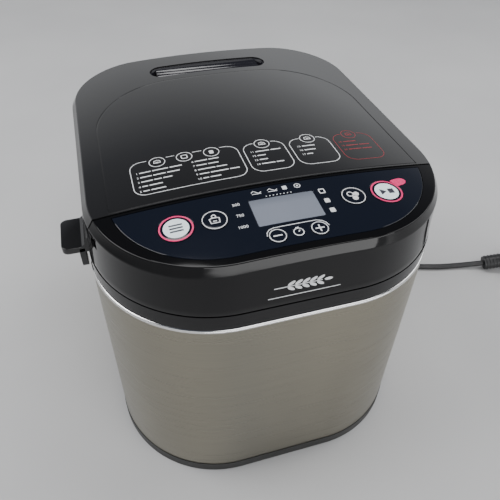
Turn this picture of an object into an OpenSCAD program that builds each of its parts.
// Bread machine with a hinged lid, a sloping control panel, an oven, a belt drive and a mains lead.
// Millimetres. X points right, Y to the back, Z up. The origin is on the floor under the body's middle.

/* [Body] */
// Width of the body at the lid's edge
body_w = 272; // [240:1:330]
// Depth of the body at the lid's edge
body_d = 314; // [290:1:380]
// Height of the top at the two side edges
edge_z = 261; // [220:1:320]
// Rise of the crowned top above its side edges
crown = 8; // [5:0.5:12]
// Corner radius of the outline at the back
back_r = 67; // [50:1:80]
// Corner radius of the outline at the front
front_r = 94; // [70:1:105]
// Wall of the plastic shells
shell_t = 2.4; // [2:0.1:3.5]
// Wall of the steel wrap
steel_t = 0.8; // [0.6:0.1:1.2]
// How far the steel wrap stands outside the lid's edge
steel_out = 2.4; // [1.5:0.1:4]
// Height of the base band above the floor
base_top_z = 11.3; // [9:0.1:20]
// How far the base band stands outside the lid's edge
base_out = 2.9; // [1.5:0.1:4]
// Height of the base band's lower edge above the floor
skirt_z = 1; // [0.5:0.1:3]

/* [Lid] */
// Height of the lid's side wall, from its lower edge to the top's side edge
lid_h = 41; // [36:1:50]
// How far the lower edge of the lid flares out
flare = 1.5; // [0.5:0.1:3]
// Inset of the bevel at the sides
side_inset = 4; // [2:0.1:6]
// Inset of the bevel at the front
front_inset = 2.1; // [1.5:0.1:5]
// Height of the bevel at the sides
side_drop = 6; // [4:0.1:9]
// Height of the bevel at the front
front_drop = 8.1; // [5:0.1:10]
// Gap between the lid and the control panel
lid_gap = 1.6; // [1:0.1:3]
// Gap between the lid and the ring that it rests on
seat_gap = 0.7; // [0.5:0.1:1.5]
// Length of the steam vent
vent_w = 117; // [90:1:140]
// Width of the steam vent
vent_d = 23; // [18:1:30]
// Distance of the steam vent's middle from the back edge
vent_back = 37.5; // [30:0.5:50]
// How far each grip stands out from the lid
grip_out = 20.4; // [14:0.1:26]
// Length of each grip
grip_len = 35; // [28:1:45]
// Distance from the panel's seam back to the grip
grip_back = 15.6; // [12:0.1:30]
// Height of each grip's top above the lid's lower edge
grip_rise = 6.5; // [5:0.5:12]
// Furthest that the lid opens, in degrees
lid_open = 95; // [80:1:100]

/* [Control panel] */
// Depth of the control panel from the front edge to the seam
panel_d = 70.4; // [66:0.1:80]
// Slope of the control panel, in degrees
panel_tilt = 4; // [2:0.5:8]
// Half width of the panel's film
film_half_w = 118; // [112:1:120]
// Distance from the body's front edge to the film
film_front = 8.6; // [6:0.1:12]
// Corner radius of the film
film_r = 75; // [60:1:80]
// Thickness of the film
film_t = 0.8; // [0.5:0.1:1.2]
// Width of the display window
lens_w = 47.6; // [40:0.1:52]
// Height of the display window
lens_d = 26; // [22:0.1:30]
// Distance from the seam to the middle of the display window
lens_y = 28; // [25:0.1:32]
// Radius of the two large buttons
large_r = 11.9; // [10:0.1:12.5]
// Radius of the two middle buttons
middle_r = 8.8; // [7:0.1:9.5]
// Radius of the two small buttons
small_r = 6; // [4.5:0.1:7]
// Distance of the large buttons from the middle line
large_x = 76.5; // [72:0.1:90]
// Distance of the middle buttons from the middle line
middle_x = 50.4; // [46:0.1:54]
// Distance of the small buttons from the middle line
small_x = 14.6; // [12:0.1:20]
// Distance from the seam to the large and middle buttons
upper_y = 27; // [25:0.1:32]
// Distance from the seam to the small buttons
lower_y = 52.4; // [50:0.1:54]
// How far a button stands above the film
button_proud = 0.5; // [0.2:0.1:1]
// Travel of a button
button_travel = 1; // [0.5:0.1:1.2]

/* [Oven and pan] */
// Gap between the body's side and the oven
oven_side = 21; // [18:1:30]
// Gap between the body's back and the oven
oven_back = 33; // [30:1:45]
// Depth of the bay in front of the oven
front_bay = 99; // [96:1:110]
// Corner radius of the oven
oven_r = 36; // [28:1:40]
// Wall of the oven
oven_t = 1.2; // [0.8:0.1:2]
// Gap between the oven's wall and the pan
pan_gap = 17; // [16:0.5:20]
// Wall of the bread pan
pan_t = 2; // [1.5:0.1:3]
// Gap between the pan's rim and the deck above it
pan_below = 18; // [15:1:30]
// Radius of the heating element's tube
element_r = 3.3; // [2.5:0.1:4]
// Height of the heating element above the oven's floor
element_rise = 46; // [40:1:60]
// Gap between the kneading paddle and the pan's side
paddle_gap = 20; // [10:1:30]

/* [Drive] */
// Radius of the drive shaft
shaft_r = 4; // [3:0.1:5]
// Outer radius of a bearing
bearing_r = 9; // [8:0.1:11]
// Height of a bearing
bearing_h = 6; // [4:0.5:8]
// Radius of the driven pulley
driven_r = 54; // [40:1:58]
// Radius of the motor's pulley
motor_pulley_r = 9; // [8:0.5:12]
// Distance of the motor from the middle line
motor_x = 62; // [58:1:70]
// Distance of the motor from the body's front edge
motor_front = 49; // [47:1:56]
// Radius of the motor's stator
stator_r = 33; // [28:1:34]
// Radius of the motor's shaft
motor_shaft_r = 3; // [2.5:0.1:4]

/* [Mains lead] */
// Diameter of the lead
lead_d = 7; // [6:0.1:8]
// Distance of the lead's outlet from the middle line
outlet_x = 60; // [40:1:80]
// Height of the lead's outlet
outlet_z = 26; // [22:1:40]
// Length of the strain relief
relief_len = 30; // [20:1:60]

/* [Hidden] */
$fn = 96;
// Levels
lid_z = edge_z - lid_h;
ring_top_z = lid_z - seat_gap;
ring_h = 13;
ring_z = ring_top_z - ring_h;
rim_h = 3;
rim_z = ring_z - rim_h;
ring_out = 1.8;
rim_out = 2.9;
deck_z = ring_top_z - 3.3;
deck_t = 2.5;
deck_under_z = deck_z - deck_t;
top_z = edge_z + crown;
crown_r = (pow(body_w / 2, 2) + pow(crown, 2)) / (2 * crown);
foot_h = 4;
foot_r = 9;
base_floor_t = 2.5;
base_floor_z = foot_h + base_floor_t;
base_wall = 3;
plate_z = 34;
plate_t = 2;
oven_floor_z = plate_z + plate_t;
// Places
front_y = -body_d / 2;
back_y = body_d / 2;
seam_y = front_y + panel_d;
lid_front_y = seam_y + lid_gap / 2;
panel_back_y = seam_y - lid_gap / 2;
oven_w = body_w - 2 * oven_side;
oven_d = body_d - oven_back - front_bay;
oven_y = front_y + front_bay + oven_d / 2;
motor_y = front_y + motor_front;
vent_y = back_y - vent_back;
vent_depth = 12;
hinge_y = back_y - 9;
hinge_z = lid_z + 12;
hinge_x = 60;
pin_r = 2;
run_gap = 0.05;
// Grips
grip_x = body_w / 2 + grip_out;
grip_z = lid_z + grip_rise;
grip_front_y = seam_y + grip_back;
grip_t = 2.5;
grip_lip = 6;
grip_r = 5;
// Pan
pan_w = oven_w - 2 * pan_gap;
pan_d = oven_d - 2 * pan_gap;
pan_r = oven_r - pan_gap + 10;
pan_floor_z = oven_floor_z + 34;
pan_top_z = deck_z - pan_below;
seat_r = 27.5;
seat_h = 11;
foot_gap = 0.5;
pan_foot_t = 2.5;
pan_foot_z = oven_floor_z + oven_t + 3;
pan_shaft_r = 4;
coupler_r = 12;
coupler_z = oven_floor_z + 13;
paddle_len = pan_d / 2 - paddle_gap;
rim_flange = 2.5;
handle_r = 2.2;
handle_eye_t = 2 * handle_r + 0.8;
handle_z = pan_top_z - 7;
handle_x = pan_w / 2 + rim_flange + 0.4 + handle_eye_t / 2;
// Drive
pulley_z = 13;
pulley_h = 12;
belt_t = 2.5;
belt_gap = 0.3;
motor_z = 44;
// Panel pieces, measured down from the panel's surface
flange_low = 10;
switch_top = flange_low + button_travel + 0.2;
board_top = 16.4;
board_t = 1.6;
// Lead: the route's points where the lead isn't coiled, and the coil between them
lead_r = lead_d / 2;
coil_x = 100;
coil_y = 240;
coil_r = 40;
coil_turns = 2.25;
relief_end_y = back_y + steel_out + 2 + relief_len;
lead_in = [
    [outlet_x, relief_end_y, outlet_z],
    [outlet_x, 202, 22.5],
    [outlet_x, 212, 16],
    [outlet_x, 221, 9],
    [outlet_x, 230, 4.6],
    [outlet_x, 240, 3.5]
];
lead_out = [
    [100, 280, 19],
    [116, 278.5, 17],
    [134, 273, 12],
    [152, 264, 7],
    [168, 252, 4],
    [184, 236, 3.5],
    [196, 218, 3.5],
    [204, 198, 3.5],
    [208, 176, 3.5],
    [208, 154, 3.5],
    [206, 132, 3.5],
    [204, 110, 3.5],
    [205, 90, 3.5],
    [210, 70, 3.5],
    [219, 53, 3.5],
    [232, 40, 3.5],
    [245, 33, 3.5],
    [257, 28.5, 3.5],
    [270, 24.5, 3.5],
    [284, 21, 3.5],
    [298, 18.3, 3.7],
    [311, 15.4, 4.6],
    [324, 12, 6.4],
    [336, 8.5, 8.5]
];
plug_turn = -15;
plug_rise = 12.5;
plug_grip_r = 8.5;
plug_face_r = 18;
plug_grip_len = 24;
plug_cone_len = 20;
plug_face_len = 6;
plug_pin_len = 19;

// ---- Shared shapes ----

// The body's outline in plan, grown outwards by g
module outline(g = 0) {
    front_x = body_w / 2 - front_r;
    back_x = body_w / 2 - back_r;
    for (side = [-1, 1]) {
        translate([side * front_x, front_y + front_r]) circle(r = front_r + g);
        translate([side * back_x, back_y - back_r]) circle(r = back_r + g);
    }
    translate([-body_w / 2 - g, front_y + front_r]) square([body_w + 2 * g, body_d - front_r - back_r]);
    translate([-front_x, front_y - g]) square([2 * front_x, front_r + g + 1]);
    translate([-back_x, back_y - back_r - 1]) square([2 * back_x, back_r + g + 1]);
}

// A band that follows the outline, between two offsets, from z0 to z1
module band(inner, outer, z0, z1) {
    translate([0, 0, z0]) linear_extrude(z1 - z0) difference() {
        outline(outer);
        outline(inner);
    }
}

// A rectangle in plan with round corners, about the origin
module round_rect(w, d, r) {
    square([w, d - 2 * r], center = true);
    square([w - 2 * r, d], center = true);
    for (x = [-1, 1], y = [-1, 1]) translate([x * (w / 2 - r), y * (d / 2 - r)]) circle(r = r);
}

// A slot in plan with round ends, about the origin
module round_slot(w, d) {
    square([w - d, d], center = true);
    for (x = [-1, 1]) translate([x * (w - d) / 2, 0]) circle(r = d / 2);
}

// A tube along Z
module tube(inner, outer, z0, z1) {
    translate([0, 0, z0]) difference() {
        cylinder(r = outer, h = z1 - z0);
        translate([0, 0, -1]) cylinder(r = inner, h = z1 - z0 + 2);
    }
}

// The outline as [centre x, centre y, radius, outward angle], with points between the corners
arc_n = 12;
function corner(x, y, r, a0) = [for (i = [0:arc_n]) [x, y, r, a0 + 90 * i / arc_n]];
function straight(p, q) = [for (i = [1:3]) [p[0] + (q[0] - p[0]) * i / 4, p[1], p[2], p[3]]];
corner_fr = corner(body_w / 2 - front_r, front_y + front_r, front_r, -90);
corner_br = corner(body_w / 2 - back_r, back_y - back_r, back_r, 0);
corner_bl = corner(back_r - body_w / 2, back_y - back_r, back_r, 90);
corner_fl = corner(front_r - body_w / 2, front_y + front_r, front_r, 180);
edge_path = concat(corner_fr, corner_br, straight(corner_br[arc_n], corner_bl[0]), corner_bl,
    corner_fl, straight(corner_fl[arc_n], corner_fr[0]));
function out(p, g) = [p[0] + (p[2] + g) * cos(p[3]), p[1] + (p[2] + g) * sin(p[3])];
function frontness(a) = pow(max(0, -sin(a)), 2);
function inset_at(a) = side_inset + (front_inset - side_inset) * frontness(a);
function drop_at(a) = side_drop + (front_drop - side_drop) * frontness(a);
function top_at(x, y, tilt) = edge_z + crown * (1 - pow(2 * x / body_w, 2)) - tan(tilt) * (seam_y - y);
function low_ring(g, z) = [for (p = edge_path) let (q = out(p, flare + g)) [q[0], q[1], z]];
function bevel_ring(g, down, tilt, k) = [for (p = edge_path)
    let (q = out(p, g - k * inset_at(p[3])))
    [q[0], q[1], top_at(q[0], q[1], tilt) - down + (k - 1) * drop_at(p[3])]];

// A solid with the outline's flared wall and bevel, whose top stands above the crowned surface
module bell(g, down, z0, tilt) {
    count = len(edge_path);
    points = concat(low_ring(g, z0), bevel_ring(g, down, tilt, 0), bevel_ring(g, down, tilt, 1.5),
        [[0, 0, top_z + 14], [0, 0, z0]]);
    sides = [for (k = [0:1], i = [0:count - 1]) let (a = k * count + i, b = k * count + (i + 1) % count)
        each [[a, a + count, b + count], [a, b + count, b]]];
    roof = [for (i = [0:count - 1]) [2 * count + i, 3 * count, 2 * count + (i + 1) % count]];
    base = [for (i = [0:count - 1]) [i, (i + 1) % count, 3 * count + 1]];
    polyhedron(points = points, faces = concat(base, sides, roof));
}

// Everything under the crowned top, lowered by t
module under_top(t, tilt) {
    translate([0, seam_y, top_z]) rotate([tilt, 0, 0]) translate([0, 0, -crown_r]) rotate([90, 0, 0])
        cylinder(r = crown_r - t, h = 3 * body_d, center = true, $fn = 360);
}

// Everything in front of y, or behind it
module in_front(y) {
    translate([-body_w, y - 2 * body_d, -50]) cube([2 * body_w, 2 * body_d, 2 * edge_z]);
}
module behind(y) {
    translate([-body_w, y, -50]) cube([2 * body_w, 2 * body_d, 2 * edge_z]);
}

// Places children on the panel: x and y in its plane, z up from its middle line
module on_panel(x = 0, y = 0, z = 0) {
    translate([0, seam_y, top_z]) rotate([panel_tilt, 0, 0]) translate([x, -y, z]) children();
}

// ---- Outside ----

module feet() {
    color("#222222") for (x = [-1, 1], y = [-1, 1])
        translate([x * (body_w / 2 - 46), y * (body_d / 2 - 46), 0]) cylinder(r = foot_r, h = foot_h);
}

module base_pan() {
    color("#3c3c3a") difference() {
        union() {
            translate([0, 0, foot_h]) linear_extrude(base_floor_t) outline(0);
            band(-base_wall, base_out, foot_h, base_top_z);
            band(base_out - base_wall, base_out, skirt_z, foot_h);
        }
        for (x = [-1, 1], i = [0:5])
            translate([x * 60, oven_y - 50 + i * 12, 0]) linear_extrude(base_top_z) round_slot(50, 4);
        screw_places() translate([0, 0, -1]) cylinder(r = 1.8, h = 20);
    }
}

module screw_places() {
    for (x = [-1, 1], y = [post_back_y(), post_mid_y()]) translate([x * post_x(), y, 0]) children();
    for (x = [-1, 1]) translate([x * 72, front_y + 30, 0]) children();
}
function post_x() = body_w / 2 - 34;
function post_back_y() = back_y - 40;
function post_mid_y() = oven_y - oven_d / 2 + 16;

module case_screws() {
    color("silver") screw_places() {
        translate([0, 0, 2]) cylinder(r = 3.2, h = foot_h - 2);
        translate([0, 0, foot_h]) cylinder(r = 1.7, h = 10);
    }
}

module steel_wrap() {
    color("#8c8880") difference() {
        union() {
            band(steel_out - steel_t, steel_out, base_top_z, rim_z);
            band(-base_wall, steel_out, base_top_z, base_top_z + steel_t);
        }
        translate([outlet_x, back_y, outlet_z]) rotate([-90, 0, 0])
            cylinder(r = lead_d + 0.5, h = 20, center = true);
    }
}

module rim_trim() {
    color("#e6e6e6") band(steel_out - steel_t - 1, rim_out, rim_z, ring_z);
}

wire_hole_w = 150;
wire_hole_d = 44;
wire_hole_y = 39.5;

module top_frame() {
    color("#151618") difference() {
        union() {
            band(ring_out - shell_t, ring_out, ring_z, ring_top_z);
            translate([0, 0, deck_under_z]) linear_extrude(deck_t) outline(ring_out - 1);
        }
        translate([0, oven_y, 0]) linear_extrude(edge_z)
            round_rect(oven_w - 2 * oven_t, oven_d - 2 * oven_t, oven_r - oven_t);
        translate([0, front_y + wire_hole_y, 0]) linear_extrude(edge_z)
            round_rect(wire_hole_w, wire_hole_d, 10);
    }
}

// ---- Control panel ----

module film_shape(grow = 0) {
    half_w = film_half_w + grow;
    y0 = front_y + film_front - grow;
    y1 = panel_back_y - 2 + grow;
    r = film_r + grow;
    intersection() {
        union() {
            translate([-half_w, y0 + r]) square([2 * half_w, body_d]);
            translate([r - half_w, y0]) square([2 * (half_w - r), body_d]);
            for (x = [-1, 1]) translate([x * (half_w - r), y0 + r]) circle(r = r);
        }
        translate([-body_w, y0 - 1]) square([2 * body_w, y1 - y0 + 1]);
    }
}

// A slice of the panel's crowned surface, from t0 to t1 below it
module panel_slice(t0, t1) {
    difference() {
        under_top(t0, panel_tilt);
        under_top(t1, panel_tilt);
    }
}

module button_places(kind) {
    if (kind == "large") for (x = [-1, 1]) on_panel(x * large_x, upper_y) children();
    if (kind == "middle") for (x = [-1, 1]) on_panel(x * middle_x, upper_y) children();
    if (kind == "small") for (x = [-1, 1]) on_panel(x * small_x, lower_y) children();
}

module button_holes(gap) {
    button_places("large") cylinder(r = large_r + gap, h = 60, center = true);
    button_places("middle") cylinder(r = middle_r + gap, h = 60, center = true);
    button_places("small") cylinder(r = small_r + gap, h = 60, center = true);
}

module panel_film() {
    color("#151a24") difference() {
        intersection() {
            translate([0, 0, lid_z]) linear_extrude(100) film_shape();
            panel_slice(0, film_t);
        }
        button_holes(0.3);
        on_panel(0, lens_y) cube([lens_w + 0.2, lens_d + 0.2, 60], center = true);
    }
}

module display_lens() {
    color("#8d93a0") intersection() {
        on_panel(0, lens_y, -2) cube([lens_w, lens_d, 8], center = true);
        panel_slice(0.15, 2.4);
    }
}

notch_x = 12;
notch_y = 10;
notch_low = 9;
notch_h = 8;
post_places = [[100, 10], [66, 48]];

module panel_housing() {
    color("#111214") difference() {
        union() {
            difference() {
                intersection() {
                    bell(0, 0, lid_z, panel_tilt);
                    under_top(0, panel_tilt);
                    in_front(panel_back_y);
                }
                intersection() {
                    bell(-shell_t, shell_t, lid_z - 1, panel_tilt);
                    under_top(shell_t, panel_tilt);
                    in_front(panel_back_y - shell_t);
                }
            }
            intersection() {
                band(-shell_t - 0.8, -0.8, deck_z, lid_z + 4);
                in_front(panel_back_y);
            }
            difference() {
                intersection() {
                    translate([0, 0, deck_z]) linear_extrude(lid_z + 1 - deck_z) outline(-0.8);
                    in_front(panel_back_y);
                }
                in_front(panel_back_y - shell_t);
            }
            intersection() {
                bell(-1, 1, lid_z, panel_tilt);
                for (x = [-1, 1]) translate([x * (body_w / 2 - notch_x), panel_back_y - 8, edge_z - 15])
                    cube([18, 16, 20], center = true);
                in_front(panel_back_y);
            }
            intersection() {
                for (x = [-1, 1], p = post_places) on_panel(x * p[0], p[1], -board_top)
                    cylinder(r = 3, h = board_top);
                under_top(1, panel_tilt);
            }
        }
        intersection() {
            translate([0, 0, lid_z]) linear_extrude(100) film_shape(0.5);
            panel_slice(-20, film_t);
        }
        button_holes(0.4);
        on_panel(0, lens_y) cube([lens_w + 0.4, lens_d + 0.4, 40], center = true);
        for (x = [-1, 1])
            translate([x * body_w / 2, panel_back_y, edge_z - notch_low - notch_h / 2])
                cube([2 * notch_x, 2 * notch_y, notch_h], center = true);
    }
}

module control_board() {
    half_w = 106;
    color("#1f5f38") on_panel(0, 0, -board_top - board_t) linear_extrude(board_t)
        polygon([[-half_w, -7], [half_w, -7], [half_w, -30], [66, -58], [-66, -58], [-half_w, -30]]);
}

module display_module() {
    color("#9aa0a6") on_panel(0, lens_y, -board_top) translate([-lens_w / 2 - 1, -lens_d / 2 - 1, 0])
        cube([lens_w + 2, lens_d + 2, board_top - 3.2]);
}

module button_switch() {
    translate([-3, -3, -board_top]) cube([6, 6, 3.5]);
    translate([0, 0, -board_top]) cylinder(r = 1.7, h = board_top - switch_top);
}

module button_switches() {
    color("#26262a") for (kind = ["large", "middle", "small"]) button_places(kind) button_switch();
}

// A button: a cap that follows the panel's crown, with a retaining flange under the panel
module button(x, y, r, shade) {
    color(shade) {
        intersection() {
            on_panel(x, y, -flange_low) cylinder(r = r, h = flange_low + 5);
            under_top(-button_proud, panel_tilt);
        }
        on_panel(x, y, -flange_low) cylinder(r = r + 1.2, h = 2);
    }
}

module button_menu() { button(-large_x, upper_y, large_r, "#e6eef0"); }
module button_weight() { button(-middle_x, upper_y, middle_r, "#1a1f2a"); }
module button_minus() { button(-small_x, lower_y, small_r, "#1a1f2a"); }
module button_plus() { button(small_x, lower_y, small_r, "#1a1f2a"); }
module button_crust() { button(middle_x, upper_y, middle_r, "#1a1f2a"); }
module button_start() { button(large_x, upper_y, large_r, "#e6eef0"); }

// ---- Lid ----

groove_back = 58;
groove_w = 0.8;
groove_t = 0.5;
rear_trim = 2;
arm_w = 12;
ear_t = 5;
ear_r = 4.6;
ear_gap = 0.4;
// The slots in the lid's back wall let it swing past the hinge's ears and their posts
hinge_slot_w = arm_w + 2 * (ear_gap + ear_t) + 3;
hinge_slot_top = hinge_z + ear_r + 3;

module groove_shape(grow) {
    half_w = film_half_w + grow;
    y1 = back_y - groove_back + grow;
    r = film_r + grow;
    translate([-half_w, front_y]) square([2 * half_w, y1 - r - front_y]);
    translate([r - half_w, front_y]) square([2 * (half_w - r), y1 - front_y]);
    for (x = [-1, 1]) translate([x * (half_w - r), y1 - r]) circle(r = r);
}

// One grip, on the right: a plate with a turned-down front lip, a foot fillet and a tongue
module grip() {
    inner_x = body_w / 2 - 1;
    translate([inner_x, grip_front_y, grip_z - grip_t]) linear_extrude(grip_t) {
        square([grip_x - inner_x - grip_r, grip_len]);
        translate([0, grip_r]) square([grip_x - inner_x, grip_len - 2 * grip_r]);
        for (y = [grip_r, grip_len - grip_r])
            translate([grip_x - inner_x - grip_r, y]) circle(r = grip_r);
    }
    translate([body_w / 2 + flare + 1.5, grip_front_y, grip_z - grip_lip])
        cube([grip_out - flare - 1.5 - grip_r, grip_t, grip_lip - 1]);
    translate([0, grip_front_y + grip_len, 0]) rotate([90, 0, 0]) linear_extrude(grip_len)
        polygon([[inner_x, grip_z - 1], [body_w / 2 + 5.8, grip_z - 1], [body_w / 2 + 5.8, grip_z],
            [body_w / 2 + 2.4, grip_z + 5], [inner_x, grip_z + 8]]);
    translate([body_w / 2 + rim_out + 0.4, grip_front_y + 5, grip_z - 16.5]) rotate([0, 90, 0])
        cylinder(r = 5, h = 3.5);
    translate([body_w / 2 + rim_out + 0.4, grip_front_y, grip_z - 16.5]) cube([3.5, 10, 15]);
}

module lid_shell() {
    color("#0e0f11") difference() {
        union() {
            difference() {
                intersection() {
                    bell(0, 0, lid_z, 0);
                    under_top(0, 0);
                    behind(lid_front_y);
                }
                intersection() {
                    bell(-shell_t, shell_t, lid_z - 1, 0);
                    under_top(shell_t, 0);
                    behind(lid_front_y + shell_t);
                }
            }
            grip();
            mirror([1, 0, 0]) grip();
        }
        intersection() {
            translate([0, 0, lid_z]) linear_extrude(100) difference() {
                groove_shape(0);
                groove_shape(-groove_w);
            }
            difference() {
                under_top(-5, 0);
                under_top(groove_t, 0);
            }
        }
        translate([0, vent_y, lid_z]) linear_extrude(100) round_slot(vent_w, vent_d);
        translate([-body_w, hinge_y - 10, lid_z - 1]) cube([2 * body_w, 60, rear_trim + 1]);
        for (x = [-1, 1])
            translate([x * hinge_x - hinge_slot_w / 2, hinge_y, lid_z - 1])
                cube([hinge_slot_w, 60, hinge_slot_top - lid_z + 1]);
    }
}

module vent_grille() {
    floor_z = top_z - vent_depth;
    slat = 3;
    color("#141518") {
        difference() {
            intersection() {
                translate([0, vent_y, floor_z]) linear_extrude(vent_depth)
                    round_slot(vent_w + 6, vent_d + 6);
                under_top(shell_t, 0);
            }
            under_top(shell_t + 1.5, 0);
            translate([0, vent_y, floor_z]) linear_extrude(vent_depth)
                round_slot(vent_w - 2, vent_d - 2);
        }
        difference() {
            intersection() {
                translate([0, vent_y, floor_z]) linear_extrude(vent_depth)
                    round_slot(vent_w - 0.4, vent_d - 0.4);
                under_top(0.6, 0);
            }
            translate([0, vent_y, floor_z + 2]) linear_extrude(vent_depth)
                round_slot(vent_w - 4, vent_d - 4);
            for (i = [-1:1]) translate([0, vent_y + i * 5.5, floor_z - 1]) linear_extrude(10)
                round_slot(vent_w - 22, slat);
        }
        for (i = [-1:1]) translate([0, vent_y + i * 5.5 + 1.6, floor_z + 2]) rotate([25, 0, 0])
            translate([-(vent_w - 16) / 2, -0.6, -0.4]) cube([vent_w - 16, 1.2, 4]);
    }
}

inner_z = lid_z + 1.2;
inner_t = 2.5;
hood_w = oven_w - 34;
hood_d = oven_d - 26;
hood_r = 26;
hood_h = 20;

module hood_opening(grow) {
    translate([0, oven_y]) round_rect(hood_w + 2 * grow, hood_d + 2 * grow, hood_r + grow);
}

module lid_inner_frame() {
    color("#1b1c1f") difference() {
        union() {
            intersection() {
                translate([0, 0, inner_z]) linear_extrude(inner_t) outline(-1.8);
                behind(lid_front_y + shell_t + 0.3);
                in_front(hinge_y - 12);
            }
            for (p = inner_screws) translate([p[0], p[1], inner_z]) cylinder(r = 4, h = 12);
        }
        translate([0, 0, lid_z]) linear_extrude(60) hood_opening(0);
        for (p = inner_screws) translate([p[0], p[1], inner_z - 1]) cylinder(r = 1.5, h = 10);
    }
}
inner_screws = [for (x = [-1, 1], y = [-1, 1])
    [x * (hood_w / 2 + 13), oven_y + y * (hood_d / 2 - 6)]];

module lid_inner_plate() {
    color("#b9bcc0") difference() {
        union() {
            translate([0, 0, inner_z - 1]) linear_extrude(1) hood_opening(7);
            translate([0, 0, inner_z - 1]) linear_extrude(hood_h) hood_opening(-0.3);
        }
        translate([0, 0, inner_z - 2]) linear_extrude(hood_h) hood_opening(-1.3);
        for (i = [-6:6], j = [-1:1]) translate([i * 8, vent_y - 34 + j * 8, inner_z])
            cylinder(r = 2, h = 40);
    }
}

module lid_screws() {
    color("silver") for (p = inner_screws) translate([p[0], p[1], inner_z - 2]) {
        cylinder(r = 3, h = 2);
        cylinder(r = 1.4, h = 10);
    }
}

module lid_hinge_arms() {
    color("#17181a") for (x = [-1, 1]) translate([x * hinge_x, 0, 0]) difference() {
        union() {
            translate([-arm_w / 2, hinge_y, hinge_z]) rotate([0, 90, 0]) cylinder(r = ear_r, h = arm_w);
            translate([-arm_w / 2, hinge_y - 28, inner_z + inner_t]) cube([arm_w, 28, 5]);
            translate([-arm_w / 2, hinge_y - ear_r, hinge_z - ear_r]) cube([arm_w, ear_r, ear_r]);
        }
        translate([-20, hinge_y, hinge_z]) rotate([0, 90, 0]) cylinder(r = pin_r + run_gap, h = 40);
    }
}

module hinge_brackets() {
    color("#9a9a9a") for (x = [-1, 1], side = [-1, 1])
        translate([x * hinge_x + side * (arm_w / 2 + ear_gap + ear_t / 2), 0, 0]) difference() {
            union() {
                translate([-ear_t / 2, hinge_y, hinge_z]) rotate([0, 90, 0]) cylinder(r = ear_r, h = ear_t);
                translate([-ear_t / 2, hinge_y - ear_r, deck_z]) cube([ear_t, 2 * ear_r, hinge_z - deck_z]);
            }
            translate([-20, hinge_y, hinge_z]) rotate([0, 90, 0]) cylinder(r = pin_r, h = 40);
        }
}

module hinge_pins() {
    length = arm_w + 2 * (ear_gap + ear_t);
    color("silver") for (x = [-1, 1]) translate([x * hinge_x - length / 2, hinge_y, hinge_z])
        rotate([0, 90, 0]) cylinder(r = pin_r, h = length);
}

// ---- Oven ----

module chassis_frame() {
    color("#a8abad") difference() {
        union() {
            translate([0, 0, plate_z]) linear_extrude(plate_t) outline(-12);
            screw_places() translate([0, 0, base_floor_z]) cylinder(r = 6, h = plate_z - base_floor_z);
        }
        screw_places() translate([0, 0, 0]) cylinder(r = 1.7, h = foot_h + 10);
        translate([0, oven_y, plate_z - 1]) cylinder(r = bearing_r + 5.2, h = 10);
        translate([-motor_x, motor_y, plate_z - 1]) cylinder(r = motor_shaft_r + 3, h = 10);
    }
}

module oven_chamber() {
    sensor_hole = 3.2;
    color("#c2c4c6") translate([0, oven_y, 0]) difference() {
        translate([0, 0, oven_floor_z]) linear_extrude(deck_under_z - oven_floor_z)
            round_rect(oven_w, oven_d, oven_r);
        translate([0, 0, oven_floor_z + oven_t]) linear_extrude(edge_z)
            round_rect(oven_w - 2 * oven_t, oven_d - 2 * oven_t, oven_r - oven_t);
        cylinder(r = bearing_r + 5.2, h = 100);
        for (x = [-1, 1]) translate([x * leg_x, -oven_d / 2, element_z]) rotate([90, 0, 0])
            cylinder(r = bush_r, h = 20, center = true);
        translate([-60, -oven_d / 2, sensor_z]) rotate([90, 0, 0])
            cylinder(r = sensor_hole, h = 20, center = true);
    }
}

element_z = oven_floor_z + element_rise;
sensor_z = oven_floor_z + 74;
leg_x = 16;
bush_r = 6;
loop_w = oven_w - 20;
loop_d = oven_d - 20;
loop_r = oven_r - 8;
bend_r = 9;

// A quarter bend of the element's tube about a corner, starting at angle a
module element_bend(x, y, r, a) {
    translate([x, y, 0]) rotate([0, 0, a]) rotate_extrude(angle = 90) translate([r, 0])
        circle(r = element_r, $fn = 24);
}
module element_rod(x, y, length, a) {
    translate([x, y, 0]) rotate([0, 0, a]) rotate([0, 90, 0]) cylinder(r = element_r, h = length, $fn = 24);
}

module heating_element() {
    x = loop_w / 2 - loop_r;
    y = loop_d / 2 - loop_r;
    color("#4a4642") translate([0, oven_y, element_z]) {
        element_bend(x, y, loop_r, 0);
        element_bend(-x, y, loop_r, 90);
        element_bend(-x, -y, loop_r, 180);
        element_bend(x, -y, loop_r, 270);
        element_rod(-x, loop_d / 2, 2 * x, 0);
        element_rod(loop_w / 2, -y, 2 * y, 90);
        element_rod(-loop_w / 2, -y, 2 * y, 90);
        for (side = [-1, 1]) {
            element_rod(side * (leg_x + bend_r), -loop_d / 2, x - leg_x - bend_r, side > 0 ? 0 : 180);
            element_bend(side * (leg_x + bend_r), -loop_d / 2 - bend_r, bend_r, side > 0 ? 90 : 0);
            element_rod(side * leg_x, -loop_d / 2 - bend_r, 16, -90);
        }
    }
}

module element_terminals() {
    color("#e8e2d4") for (x = [-1, 1])
        translate([x * leg_x, oven_y - oven_d / 2 + 1, element_z]) rotate([90, 0, 0]) difference() {
            union() {
                cylinder(r = bush_r, h = 8);
                translate([0, 0, 1]) cylinder(r = bush_r + 2.5, h = 4);
            }
            translate([0, 0, -1]) cylinder(r = element_r, h = 20, $fn = 24);
        }
}

module temperature_sensor() {
    color("#d0d2d4") translate([-60, oven_y - oven_d / 2, sensor_z]) rotate([90, 0, 0]) {
        translate([0, 0, -10]) cylinder(r = 3, h = 26);
        cylinder(r = 7, h = 3);
    }
}

module thermal_fuse() {
    color("#d8d0c0") translate([70, oven_y - oven_d / 2 - 3, sensor_z]) rotate([0, 90, 0])
        cylinder(r = 3, h = 14, center = true);
}

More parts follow.
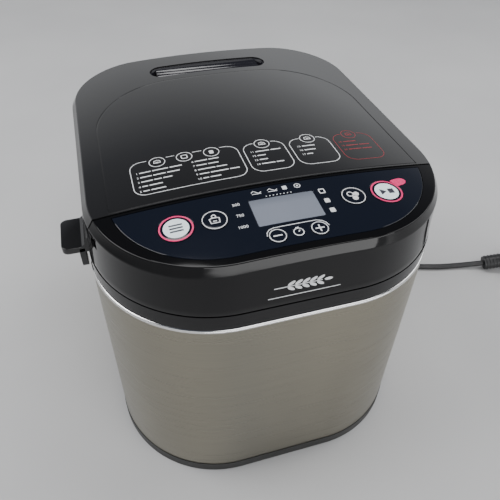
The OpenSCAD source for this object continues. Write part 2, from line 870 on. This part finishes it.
module pan_seat() {
    floor_z = oven_floor_z + oven_t;
    color("#b0b2b4") translate([0, oven_y, 0]) {
        tube(seat_r - 2, seat_r, floor_z, floor_z + seat_h);
        tube(seat_r - 2, seat_r + 6, floor_z, pan_foot_z);
    }
}

// ---- Drive ----

lower_bearing_z = 27;
upper_bearing_z = oven_floor_z + 4;
housing_top_z = upper_bearing_z + bearing_h + 1;

module bearing_housing() {
    color("#7c8084") translate([0, oven_y, 0]) difference() {
        union() {
            translate([0, 0, lower_bearing_z - 1]) cylinder(r = bearing_r + 5, h = housing_top_z - lower_bearing_z + 1);
            translate([0, 0, plate_z - 2.5]) cylinder(r = bearing_r + 15, h = 2.5);
        }
        translate([0, 0, lower_bearing_z - 2]) cylinder(r = bearing_r, h = bearing_h + 2);
        translate([0, 0, upper_bearing_z]) cylinder(r = bearing_r, h = bearing_h + 2);
        cylinder(r = shaft_r + 2, h = 100);
    }
}

module drive_bearings() {
    color("#b88a4a") translate([0, oven_y, 0]) for (z = [lower_bearing_z, upper_bearing_z])
        tube(shaft_r + run_gap, bearing_r, z, z + bearing_h);
}

module drive_shaft() {
    color("silver") translate([0, oven_y, pulley_z - 2]) cylinder(r = shaft_r, h = coupler_z + 2 - pulley_z);
}

// Two lugs that stand on a disc
module lugs(angle, z0, z1) {
    rotate([0, 0, angle]) for (x = [-1, 1]) intersection() {
        tube(5.5, coupler_r, z0, z1);
        translate([x * 9, 0, (z0 + z1) / 2]) cube([10, 7, z1 - z0], center = true);
    }
}

module drive_coupler() {
    color("#5a5d60") translate([0, oven_y, 0]) {
        translate([0, 0, coupler_z]) cylinder(r = coupler_r, h = 3);
        lugs(0, coupler_z + 3, coupler_z + 9);
    }
}

module pan_coupling() {
    color("#5a5d60") translate([0, oven_y, 0]) {
        translate([0, 0, coupler_z + 10]) cylinder(r = coupler_r, h = 3);
        lugs(90, coupler_z + 4, coupler_z + 10);
    }
}

module driven_pulley() {
    color("#e4e2dc") translate([0, oven_y, 0]) difference() {
        union() {
            tube(driven_r - 6, driven_r, pulley_z, pulley_z + pulley_h);
            translate([0, 0, pulley_z]) cylinder(r = driven_r - 4, h = 3);
            translate([0, 0, pulley_z]) cylinder(r = 11, h = pulley_h);
        }
        translate([0, 0, pulley_z - 1]) cylinder(r = shaft_r, h = 30);
        for (a = [0:60:300]) rotate([0, 0, a]) translate([30, 0, pulley_z - 1]) cylinder(r = 10, h = 10);
    }
}

module belt_loop(grow) {
    hull() {
        translate([0, oven_y]) circle(r = driven_r + grow);
        translate([-motor_x, motor_y]) circle(r = motor_pulley_r + grow);
    }
}

module drive_belt() {
    color("#1c1c1c") translate([0, 0, pulley_z + 2]) linear_extrude(pulley_h - 4) difference() {
        belt_loop(belt_gap + belt_t);
        belt_loop(belt_gap);
    }
}

stator_z = motor_z + 9;
stator_h = 30;
bell_h = 7;
motor_top_z = stator_z + stator_h + bell_h;

module motor_stator() {
    color("#6c6f73") translate([-motor_x, motor_y, stator_z]) difference() {
        cylinder(r = stator_r, h = stator_h);
        translate([0, 0, -1]) cylinder(r = 18, h = stator_h + 2);
        for (a = [0:60:300]) rotate([0, 0, a]) translate([stator_r - 4, 0, -1]) cylinder(r = 1.8, h = 50);
    }
}

module motor_bells() {
    color("#a2a5a8") translate([-motor_x, motor_y, 0]) difference() {
        union() {
            translate([0, 0, stator_z - bell_h]) cylinder(r = stator_r, h = bell_h);
            translate([0, 0, stator_z + stator_h]) cylinder(r = stator_r, h = bell_h);
            for (a = [30:120:270]) rotate([0, 0, a])
                translate([stator_r - 5, 0, oven_floor_z]) cylinder(r = 4, h = stator_z - oven_floor_z - 1);
        }
        translate([0, 0, stator_z - 3]) cylinder(r = 20, h = 3);
        translate([0, 0, stator_z + stator_h]) cylinder(r = 20, h = 3);
        cylinder(r = motor_shaft_r + run_gap, h = 200);
        for (a = [0:60:300]) rotate([0, 0, a]) translate([stator_r - 4, 0, stator_z - 5]) cylinder(r = 1.8, h = 60);
    }
}

module motor_screws() {
    color("silver") for (a = [0:60:300]) translate([-motor_x, motor_y, 0]) rotate([0, 0, a])
        translate([stator_r - 4, 0, stator_z - 4]) {
            cylinder(r = 1.6, h = motor_top_z - stator_z + 4);
            translate([0, 0, motor_top_z - stator_z + 4]) cylinder(r = 3, h = 2);
        }
}

module motor_shaft() {
    color("silver") translate([-motor_x, motor_y, pulley_z - 2])
        cylinder(r = motor_shaft_r, h = motor_top_z + 4 - pulley_z);
}

module motor_rotor() {
    color("#8a8d90") translate([-motor_x, motor_y, 0])
        tube(motor_shaft_r, 17.4, stator_z + 1, stator_z + stator_h - 1);
}

module motor_pulley() {
    color("#d8d6d0") translate([-motor_x, motor_y, 0]) difference() {
        union() {
            translate([0, 0, pulley_z]) cylinder(r = motor_pulley_r, h = pulley_h);
            translate([0, 0, pulley_z + pulley_h]) cylinder(r = motor_pulley_r - 3, h = 4);
        }
        translate([0, 0, pulley_z - 1]) cylinder(r = motor_shaft_r, h = 30);
        translate([0, 0, pulley_z - 1]) tube(motor_shaft_r + 3, motor_pulley_r - 1.5, 0, 8);
    }
}

module run_capacitor() {
    color("#d9d9d4") translate([-6, front_y + 22, oven_floor_z]) cube([38, 22, 30]);
}

board_x = 22;
board_y = front_y + front_bay - 26;

module power_board() {
    color("#2a6a3e") translate([board_x, board_y, oven_floor_z]) cube([86, 1.6, 96]);
}

module board_parts() {
    color("#3a3a3f") {
        translate([board_x + 8, board_y - 26, oven_floor_z + 16]) cube([32, 26, 30]);
        translate([board_x + 50, board_y - 16, oven_floor_z + 20]) cube([20, 16, 24]);
        translate([board_x + 12, board_y - 12, oven_floor_z + 58]) cube([56, 12, 10]);
    }
}

// ---- Bread pan ----

module pan_shape(z0, z1, shrink) {
    translate([0, oven_y, z0]) linear_extrude(z1 - z0)
        round_rect(pan_w - 2 * shrink, pan_d - 2 * shrink, pan_r - shrink);
}

module bread_pan() {
    boss_r = pan_shaft_r + 4;
    color("#55575a") difference() {
        union() {
            difference() {
                pan_shape(pan_floor_z, pan_top_z, 0);
                pan_shape(pan_floor_z + pan_t, pan_top_z + 1, pan_t);
            }
            difference() {
                pan_shape(pan_top_z - 3, pan_top_z, -rim_flange);
                pan_shape(pan_top_z - 4, pan_top_z + 1, pan_t);
            }
            translate([0, oven_y, 0])
                tube(seat_r + foot_gap, seat_r + foot_gap + pan_foot_t, pan_foot_z, pan_floor_z);
            for (x = [-1, 1]) translate([x * pan_w / 2, oven_y, handle_z]) rotate([0, x * 90, 0]) {
                translate([0, 0, -1]) cylinder(r = 4.5, h = rim_flange + 1.4);
                cylinder(r = pin_r, h = handle_x + handle_eye_t / 2 + 1 - pan_w / 2);
                translate([0, 0, handle_x + handle_eye_t / 2 + 0.3 - pan_w / 2]) cylinder(r = 3.4, h = 1.5);
            }
        }
        translate([0, oven_y, 0]) cylinder(r = boss_r, h = pan_floor_z + 20);
    }
}

module pan_bush() {
    color("#8a7350") translate([0, oven_y, 0]) {
        tube(pan_shaft_r + run_gap, pan_shaft_r + 4, pan_floor_z - 6, pan_floor_z + 4);
        tube(pan_shaft_r + 4, pan_shaft_r + 8, pan_floor_z - 3, pan_floor_z);
    }
}

module shaft_seal() {
    color("#a03a2a") translate([0, oven_y, 0])
        tube(pan_shaft_r + run_gap, pan_shaft_r + 3, pan_floor_z + 4, pan_floor_z + 7);
}

module pan_shaft() {
    z0 = coupler_z + 13;
    color("silver") translate([0, oven_y, z0]) cylinder(r = pan_shaft_r, h = pan_floor_z + 24 - z0);
}

module kneading_paddle() {
    hub_z = pan_floor_z + 8;
    color("#3d3f42") translate([0, oven_y, 0]) {
        tube(pan_shaft_r, 9, hub_z, hub_z + 18);
        difference() {
            translate([7, -2, hub_z]) cube([paddle_len - 7, 4, 26]);
            translate([paddle_len, 0, hub_z + 26]) rotate([90, 0, 0]) cylinder(r = 16, h = 20, center = true);
        }
    }
}

// The carrying handle lies back along the pan's rim
module pan_handle() {
    reach = pan_d / 2 + rim_flange + 1.5 + handle_r;
    r = 30;
    color("#2c2d30") translate([0, oven_y, handle_z]) {
        for (x = [-1, 1]) {
            translate([x * handle_x, 0, 0]) rotate([0, 90, 0]) difference() {
                cylinder(r = 5.5, h = handle_eye_t, center = true);
                cylinder(r = pin_r + run_gap, h = 20, center = true);
            }
            translate([x * handle_x, 4.5, 0]) rotate([-90, 0, 0])
                cylinder(r = handle_r, h = reach - 4.5 - r, $fn = 24);
            translate([x * (handle_x - r), reach - r, 0]) rotate([0, 0, x > 0 ? 0 : 90])
                rotate_extrude(angle = 90) translate([r, 0]) circle(r = handle_r, $fn = 24);
        }
        translate([-(handle_x - r), reach, 0]) rotate([0, 90, 0])
            cylinder(r = handle_r, h = 2 * (handle_x - r), $fn = 24);
    }
}

// ---- Mains lead ----

module cord_gland() {
    wall_y = back_y + steel_out;
    color("#161616") translate([outlet_x, wall_y, outlet_z]) rotate([-90, 0, 0]) {
        translate([0, 0, -8]) cylinder(r = lead_d + 0.4, h = 8);
        cylinder(r = lead_d + 3, h = 2);
    }
}

module strain_relief() {
    color("#161616") translate([outlet_x, back_y + steel_out + 2, outlet_z]) rotate([-90, 0, 0])
        cylinder(r1 = lead_r + 3, r2 = lead_r + 0.8, h = relief_len);
}

// A round tube of radius r swept along a list of points
function unit(v) = v / norm(v);
function along(path, i) = unit(path[min(i + 1, len(path) - 1)] - path[max(i - 1, 0)]);
function across(t) = unit(cross(t, [0, 0, 1]));
function swept_ring(path, i, r, sides) = let (t = along(path, i), s = across(t), u = cross(s, t))
    [for (k = [0:sides - 1]) path[i] + r * cos(360 * k / sides) * s + r * sin(360 * k / sides) * u];

module swept_tube(path, r, sides) {
    last = len(path) - 1;
    points = [for (i = [0:last]) each swept_ring(path, i, r, sides)];
    walls = [for (i = [0:last - 1], k = [0:sides - 1])
        let (a = i * sides + k, b = i * sides + (k + 1) % sides)
        each [[a, b, b + sides], [a, b + sides, a + sides]]];
    start = [for (k = [sides - 1:-1:0]) k];
    end = [for (k = [0:sides - 1]) last * sides + k];
    polyhedron(points = points, faces = concat([start], walls, [end]));
}

module mains_cord() {
    color("#141414") {
        swept_tube(lead_in, lead_r, 12);
        swept_tube(lead_out, lead_r, 12);
    }
}

module cord_coil() {
    color("#141414") translate([coil_x, coil_y, 0])
        tube(coil_r - lead_r - 0.3, coil_r + lead_r + 0.3, 0, lead_d * (coil_turns + 1));
}

module mains_plug() {
    color("#161616") translate(lead_out[len(lead_out) - 1]) rotate([0, 0, plug_turn])
        rotate([0, 90 - plug_rise, 0]) {
            cylinder(r = plug_grip_r, h = plug_grip_len);
            translate([0, 0, plug_grip_len])
                cylinder(r1 = plug_grip_r, r2 = plug_face_r, h = plug_cone_len);
            translate([0, 0, plug_grip_len + plug_cone_len]) cylinder(r = plug_face_r, h = plug_face_len);
            for (y = [-1, 1]) translate([0, y * 9.5, plug_grip_len + plug_cone_len + plug_face_len])
                cylinder(r = 2.4, h = plug_pin_len);
        }
}

feet();
base_pan();
case_screws();
steel_wrap();
rim_trim();
top_frame();
panel_housing();
panel_film();
display_lens();
display_module();
control_board();
button_switches();
chassis_frame();
oven_chamber();
heating_element();
element_terminals();
temperature_sensor();
thermal_fuse();
pan_seat();
bearing_housing();
drive_bearings();
drive_belt();
motor_stator();
motor_bells();
motor_screws();
run_capacitor();
power_board();
board_parts();
hinge_brackets();
hinge_pins();
cord_gland();
strain_relief();
mains_cord();
cord_coil();
mains_plug();
lid_shell();
vent_grille();
lid_inner_frame();
lid_inner_plate();
lid_hinge_arms();
lid_screws();
button_menu();
button_weight();
button_minus();
button_plus();
button_crust();
button_start();
bread_pan();
pan_bush();
shaft_seal();
pan_handle();
pan_shaft();
pan_coupling();
kneading_paddle();
drive_shaft();
drive_coupler();
driven_pulley();
motor_shaft();
motor_rotor();
motor_pulley();
